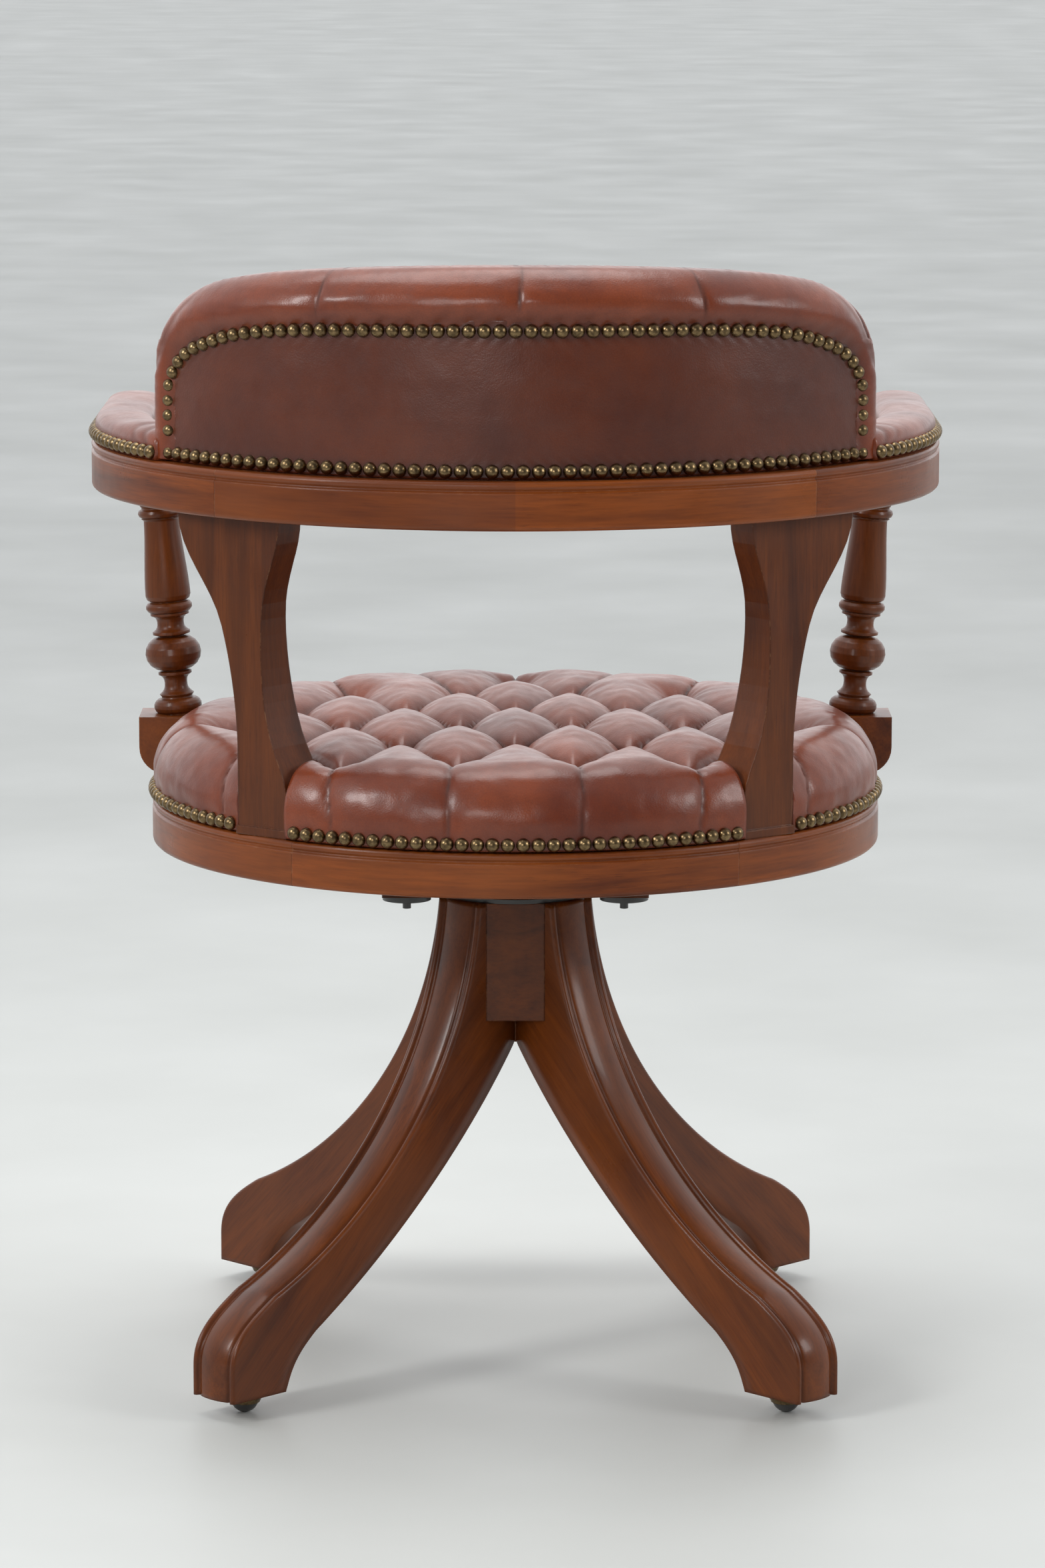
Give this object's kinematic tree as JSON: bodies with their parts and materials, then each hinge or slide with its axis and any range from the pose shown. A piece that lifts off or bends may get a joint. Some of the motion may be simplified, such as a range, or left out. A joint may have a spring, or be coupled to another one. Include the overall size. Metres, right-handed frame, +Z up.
{
  "type": "swivel office chair",
  "caption": "Swivel and rocking desk chair with a deep-buttoned round leather seat, horseshoe arm rail, padded curved back and swept-leg wooden pedestal on ball castors.",
  "frame": {"origin": "on the floor, under the middle of the chair, which is the swivel axis to within a few millimetres", "axes": "+Z up along the swivel axis, -Y towards the front of the seat, +X to the sitter's left"},
  "size_m": [0.624, 0.546, 0.82],
  "materials": {
    "wood": "satin lacquered mahogany-stained hardwood",
    "bare_wood": "unfinished beech and plywood",
    "leather": "aniline leather, waxed, with a soft gloss",
    "antique_brass": "antiqued, on nail heads and castor cups",
    "brass": "plain turned brass",
    "steel": "plain turned steel",
    "black_steel": "black oxide",
    "knob_plastic": "moulded",
    "rubber": "moulded"
  },
  "bodies": {
    "base": {"leg_rear_left": "wood", "leg_rear_right": "wood", "leg_front_left": "wood", "leg_front_right": "wood", "hub_core": "wood", "hub_corner_blocks": "wood", "hub_top_plate": "black_steel", "hub_plate_screws": "steel", "screw_bush": "brass", "castor_cups": "antique_brass"},
    "height_screw": {"height_screw": "steel", "retaining_nut": "steel"},
    "height_handwheel": {"height_handwheel": "black_steel"},
    "yoke": {"rocker_yoke": "black_steel", "swivel_bush": "brass", "thrust_washer": "brass", "stop_buffers": "rubber", "rocker_spring": "steel"},
    "seat": {"strap_left": "black_steel", "strap_right": "black_steel", "pivot_shaft": "steel", "spring_bolt_pin": "steel", "batten_left": "bare_wood", "batten_right": "bare_wood", "strap_bolts": "steel", "seat_board": "bare_wood", "wood_screws": "steel", "seat_rail_rear": "wood", "seat_rail_left": "wood", "seat_rail_right": "wood", "seat_rail_front_left": "wood", "seat_rail_front_right": "wood", "seat_cushion": "leather", "seat_nails": "antique_brass", "buttons": "leather", "scroll_post_left": "wood", "scroll_post_right": "wood", "turned_post_left": "wood", "turned_post_right": "wood", "post_blocks": "wood", "frame_dowels": "bare_wood", "arm_rail_back": "wood", "arm_rail_left": "wood", "arm_rail_right": "wood", "back_board": "bare_wood", "back_cushion": "leather", "outside_back": "leather", "arm_pads": "leather", "back_nails": "antique_brass"},
    "spring_bolt": {"spring_bolt": "steel"},
    "spring_seat": {"spring_seat": "steel"},
    "tension_knob": {"tension_knob": "knob_plastic"},
    "castor_race_1": {"castor_race_1": "steel"},
    "castor_ball_1": {"castor_ball_1": "black_steel"},
    "castor_race_2": {"castor_race_2": "steel"},
    "castor_ball_2": {"castor_ball_2": "black_steel"},
    "castor_race_3": {"castor_race_3": "steel"},
    "castor_ball_3": {"castor_ball_3": "black_steel"},
    "castor_race_4": {"castor_race_4": "steel"},
    "castor_ball_4": {"castor_ball_4": "black_steel"}
  },
  "joints": [
    {"name": "castor_swivel_1", "type": "hinge", "parent": "base", "child": "castor_race_1", "pos_m": [0.19304, 0.19304, 0.01], "axis": [0, 0, 1], "continuous": true},
    {"name": "castor_roll_1", "type": "hinge", "parent": "castor_race_1", "child": "castor_ball_1", "pos_m": [0.19304, 0.19304, 0.01], "axis": [1, 0, 0], "continuous": true},
    {"name": "castor_swivel_2", "type": "hinge", "parent": "base", "child": "castor_race_2", "pos_m": [-0.19304, 0.19304, 0.01], "axis": [0, 0, 1], "continuous": true},
    {"name": "castor_roll_2", "type": "hinge", "parent": "castor_race_2", "child": "castor_ball_2", "pos_m": [-0.19304, 0.19304, 0.01], "axis": [1, 0, 0], "continuous": true},
    {"name": "castor_swivel_3", "type": "hinge", "parent": "base", "child": "castor_race_3", "pos_m": [-0.19304, -0.19304, 0.01], "axis": [0, 0, 1], "continuous": true},
    {"name": "castor_roll_3", "type": "hinge", "parent": "castor_race_3", "child": "castor_ball_3", "pos_m": [-0.19304, -0.19304, 0.01], "axis": [1, 0, 0], "continuous": true},
    {"name": "castor_swivel_4", "type": "hinge", "parent": "base", "child": "castor_race_4", "pos_m": [0.19304, -0.19304, 0.01], "axis": [0, 0, 1], "continuous": true},
    {"name": "castor_roll_4", "type": "hinge", "parent": "castor_race_4", "child": "castor_ball_4", "pos_m": [0.19304, -0.19304, 0.01], "axis": [1, 0, 0], "continuous": true},
    {"name": "seat_height", "type": "slide", "parent": "base", "child": "height_screw", "axis": [0, 0, 1], "range_m": [0, 0.05]},
    {"name": "handwheel_turn", "type": "hinge", "parent": "base", "child": "height_handwheel", "pos_m": [0, 0, 0.35], "axis": [0, 0, 1], "range_deg": [0, 3601]},
    {"name": "seat_swivel", "type": "hinge", "parent": "height_screw", "child": "yoke", "pos_m": [0, 0, 0.37], "axis": [0, 0, 1], "continuous": true},
    {"name": "seat_rock", "type": "hinge", "parent": "yoke", "child": "seat", "pos_m": [0, -0.032, 0.3716], "axis": [-1, 0, 0], "range_deg": [0, 12], "stiffness_Nm_per_rad": 150, "springref_deg": -8.59, "deforming": ["rocker_spring"]},
    {"name": "bolt_swing", "type": "hinge", "parent": "seat", "child": "spring_bolt", "pos_m": [0, -0.098, 0.3819], "axis": [-1, 0, 0], "range_deg": [-12.1, 0]},
    {"name": "spring_preload", "type": "slide", "parent": "spring_bolt", "child": "spring_seat", "axis": [0, 0, 1], "range_m": [0, 0.008], "deforming": ["rocker_spring"]},
    {"name": "knob_turn", "type": "hinge", "parent": "spring_seat", "child": "tension_knob", "pos_m": [0, -0.098, 0.3], "axis": [0, 0, 1], "range_deg": [0, 2305]}
  ],
  "couplings": [
    {"joint": "handwheel_turn", "follows": "seat_height", "rad_per_m": 1256.6},
    {"joint": "bolt_swing", "follows": "seat_rock", "ratio": -1},
    {"joint": "knob_turn", "follows": "spring_preload", "rad_per_m": 5026.5}
  ]
}
